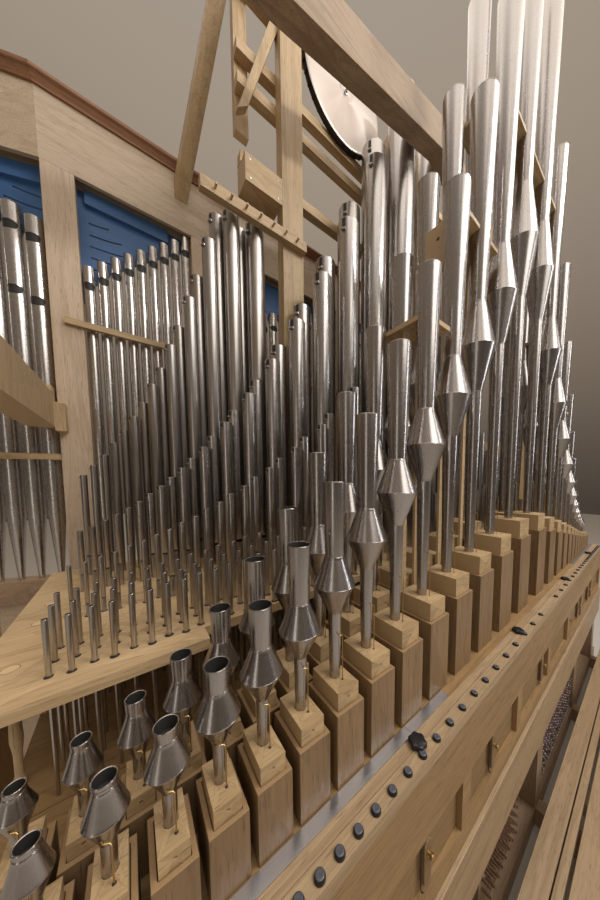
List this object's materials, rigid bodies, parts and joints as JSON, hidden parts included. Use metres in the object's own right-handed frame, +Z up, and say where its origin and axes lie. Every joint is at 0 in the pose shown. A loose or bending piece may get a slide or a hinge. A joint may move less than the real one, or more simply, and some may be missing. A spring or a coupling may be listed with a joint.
{
  "type": "pipe organ, inner side with reed rank and case front",
  "caption": "Inside of a pipe organ: wooden reed boots with double-cone pipes, racks of metal pipes, timber frame and the back of its case front.",
  "frame": {"origin": "on the floor, in the middle of the outer box", "axes": "+Z up, X along the chest, the case front faces -Y and the walkway is on the +Y side"},
  "size_m": [4.0506, 2.1418, 3.971],
  "materials": {
    "oak": "satin",
    "pale_timber": "satin",
    "frame_timber": "satin",
    "red_pine": "satin",
    "plywood": "satin",
    "dark_red": "matte",
    "dark_rod": "matte",
    "blue_paint": "satin",
    "pipe_metal": "satin",
    "steel": "satin",
    "black": "gloss",
    "plate_metal": "satin"
  },
  "bodies": {
    "root": {"long_sills": "frame_timber", "cross_sills": "frame_timber", "low_posts": "frame_timber", "bearers": "frame_timber", "walk_brackets": "frame_timber", "walk_plank": "frame_timber", "pin_panel": "dark_red", "rod_registers": "frame_timber", "rods": "dark_rod", "chest": "oak", "chest_panels": "oak", "apron": "frame_timber", "knob_rail": "oak", "knobs": "black", "strips": "steel", "toe_boards": "oak", "boots_front": "oak", "boots_rear": "oak", "heads_front": "oak", "heads_rear": "oak", "resonators_front": "pipe_metal", "resonators_rear": "pipe_metal", "stays": "pale_timber", "rack_front": "pale_timber", "rack_back": "pale_timber", "rack_pillars": "pale_timber", "mixture_rows": "pipe_metal", "octave_row": "pipe_metal", "principal_row": "pipe_metal", "double_row": "pipe_metal", "inner_posts": "pale_timber", "rails": "pale_timber", "braces": "pale_timber", "disc": "plate_metal", "disc_rim": "black", "end_frames": "pale_timber", "raking_beams": "pale_timber", "front_posts": "pale_timber", "impost": "frame_timber", "case_panels": "plywood", "frieze": "plywood", "cornice": "red_pine", "front_pipes_outer": "pipe_metal", "front_pipes_wide": "pipe_metal", "shades": "blue_paint"}
  },
  "joints": []
}
